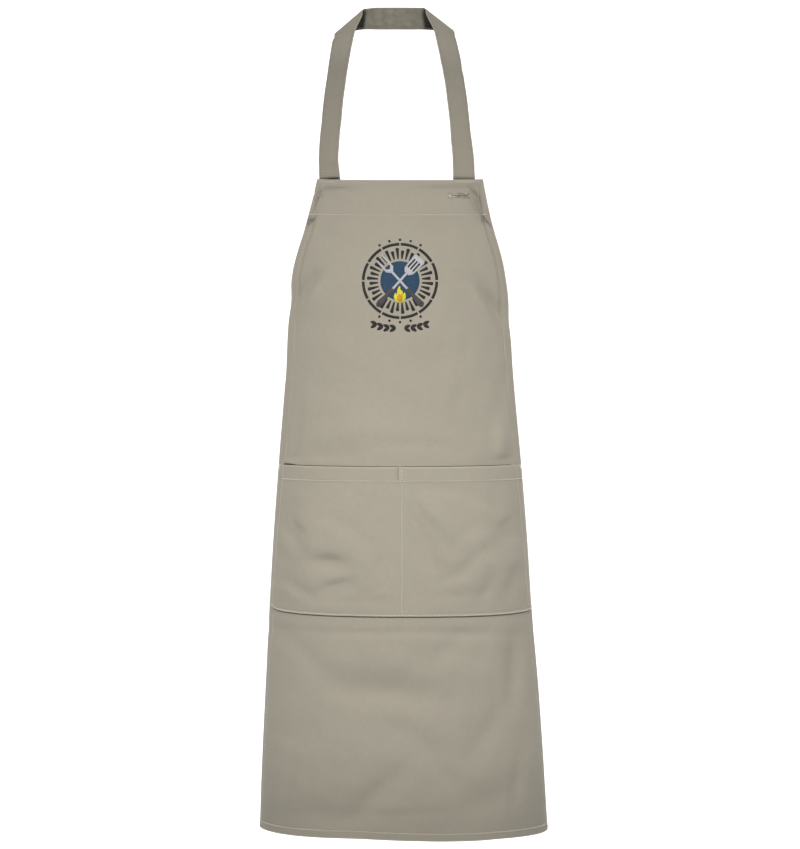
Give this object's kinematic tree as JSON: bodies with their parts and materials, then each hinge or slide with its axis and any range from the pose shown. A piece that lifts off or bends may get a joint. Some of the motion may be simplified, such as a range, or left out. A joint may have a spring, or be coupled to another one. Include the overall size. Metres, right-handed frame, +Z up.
{
  "type": "bib apron",
  "caption": "Long cotton bib apron in its worn shape, with a neck strap, waist ties knotted behind and a full-width divided pocket.",
  "frame": {"origin": "back of the neck, on the middle of the neck strap's band", "axes": "+Z up, the front of the apron faces -Y, +X is to the right as the front is seen"},
  "size_m": [0.3873, 0.2363, 1.1107],
  "materials": {
    "twill": "matt cotton twill, warm olive grey",
    "twill_strap": "matt cotton twill, two layers, topstitched"
  },
  "bodies": {
    "root": {"apron_body": "twill", "bib_facing": "twill", "pocket": "twill", "neck_strap": "twill_strap", "waist_tie_left": "twill_strap", "waist_tie_right": "twill_strap", "tie_knot": "twill_strap", "tie_tail_left": "twill_strap", "tie_tail_right": "twill_strap"}
  },
  "joints": []
}
